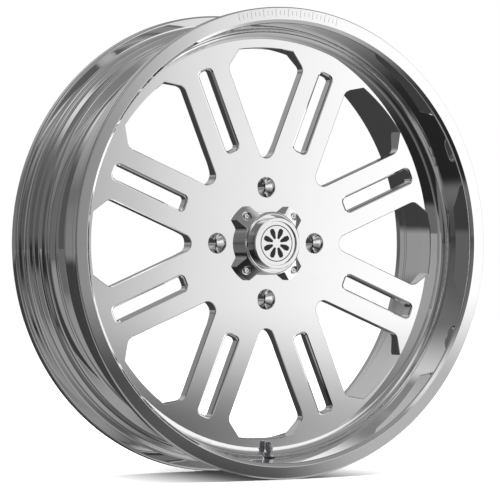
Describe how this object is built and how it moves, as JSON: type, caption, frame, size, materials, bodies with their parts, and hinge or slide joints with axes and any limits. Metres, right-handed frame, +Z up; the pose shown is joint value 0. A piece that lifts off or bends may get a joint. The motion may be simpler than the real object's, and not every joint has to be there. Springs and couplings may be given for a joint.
{
  "type": "forged racing wheel rim",
  "caption": "Deep two-piece forged wheel rim with flat slotted spokes, open windows, a screwed four-armed centre cap and a metal valve.",
  "frame": {"origin": "centre of the rim, on the wheel's axis and midway between the two flange faces", "axes": "the wheel spins about Y; -Y is the outside of the wheel, +Y is the hub side; +Z is up, with the valve at the bottom"},
  "size_m": [0.6493, 0.2, 0.6494],
  "materials": {
    "polished_aluminium": "mirror polished",
    "polished_forging": "mirror polished forging",
    "weld_aluminium": "brushed weld bead",
    "polished_cap": "mirror polished billet",
    "emblem": "satin anodised",
    "steel_screw": "bright stainless",
    "valve_metal": "dark chrome",
    "core_brass": "machined brass",
    "core_steel": "spring steel",
    "seal_rubber": "moulded rubber"
  },
  "bodies": {
    "wheel": {"barrel": "polished_aluminium", "spoke_centre": "polished_forging", "front_seal_bead": "polished_aluminium", "rear_weld_bead": "weld_aluminium", "cap_base": "polished_cap", "cap_nose": "polished_cap", "cap_nose_screw": "steel_screw", "cap_emblem": "emblem", "cap_screws": "steel_screw", "valve_stem": "valve_metal", "valve_inner_seal": "seal_rubber", "valve_outer_seal": "seal_rubber", "valve_washer": "valve_metal", "valve_nut": "valve_metal", "valve_core_body": "core_brass", "valve_core_gasket": "seal_rubber", "valve_core_spring": "core_steel"},
    "core_pin": {"valve_core_pin": "core_brass", "valve_core_cup_seal": "seal_rubber"},
    "valve_cap_lift": {"valve_cap_seal": "seal_rubber"},
    "valve_cap_turn": {"valve_cap": "valve_metal"}
  },
  "joints": [
    {"name": "valve_core_press", "type": "slide", "parent": "wheel", "child": "core_pin", "axis": [0, 0, -1], "range_m": [0, 0.0012], "stiffness_N_per_m": 900, "springref_m": -0.0015, "deforming": ["valve_core_spring"]},
    {"name": "valve_cap_rise", "type": "slide", "parent": "wheel", "child": "valve_cap_lift", "axis": [0, 0, 1], "range_m": [0, 0.004]},
    {"name": "valve_cap_unscrew", "type": "hinge", "parent": "valve_cap_lift", "child": "valve_cap_turn", "pos_m": [0, -0.0485, -0.282], "axis": [0, 0, 1], "range_deg": [0, 1800]}
  ],
  "couplings": [
    {"joint": "valve_cap_rise", "follows": "valve_cap_unscrew", "m_per_rad": 0.00012637}
  ]
}
